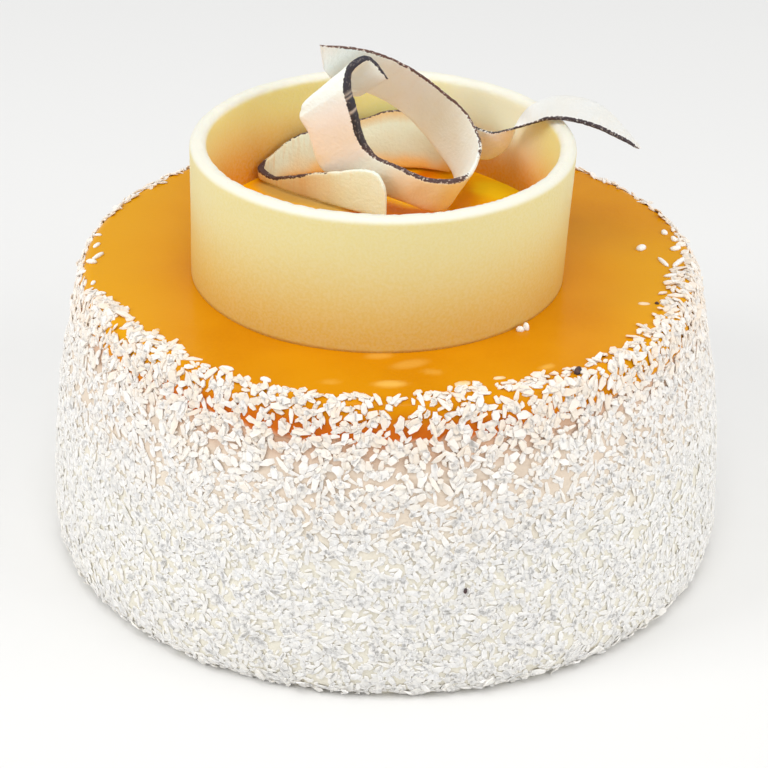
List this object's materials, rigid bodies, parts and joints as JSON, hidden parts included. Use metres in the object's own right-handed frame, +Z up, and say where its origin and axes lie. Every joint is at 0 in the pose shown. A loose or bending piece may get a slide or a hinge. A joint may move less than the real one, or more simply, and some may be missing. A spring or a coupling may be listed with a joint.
{
  "type": "mousse cake",
  "caption": "Round mousse cake with a glossy fruit glaze, a coconut flake coat, and a white chocolate ring holding fruit filling and curled coconut ribbons.",
  "frame": {"origin": "centre of the cake's flat base, on the surface that it stands on", "axes": "+Z up along the cake's axis, -Y towards the shown front, +X to the right in the shown view"},
  "size_m": [0.1586, 0.1584, 0.1159],
  "materials": {
    "coconut_coat": "matte dry coconut flakes over mousse",
    "glaze": "glossy poured fruit glaze",
    "white_chocolate": "satin white chocolate",
    "filling": "glossy set fruit filling",
    "coconut_ribbon": "moist translucent coconut flesh with a dark skin edge"
  },
  "bodies": {
    "root": {"mousse_body": "coconut_coat", "fruit_glaze": "glaze", "white_chocolate_ring": "white_chocolate", "fruit_filling": "filling", "coconut_loop": "coconut_ribbon", "coconut_fold": "coconut_ribbon", "coconut_arch": "coconut_ribbon"}
  },
  "joints": []
}
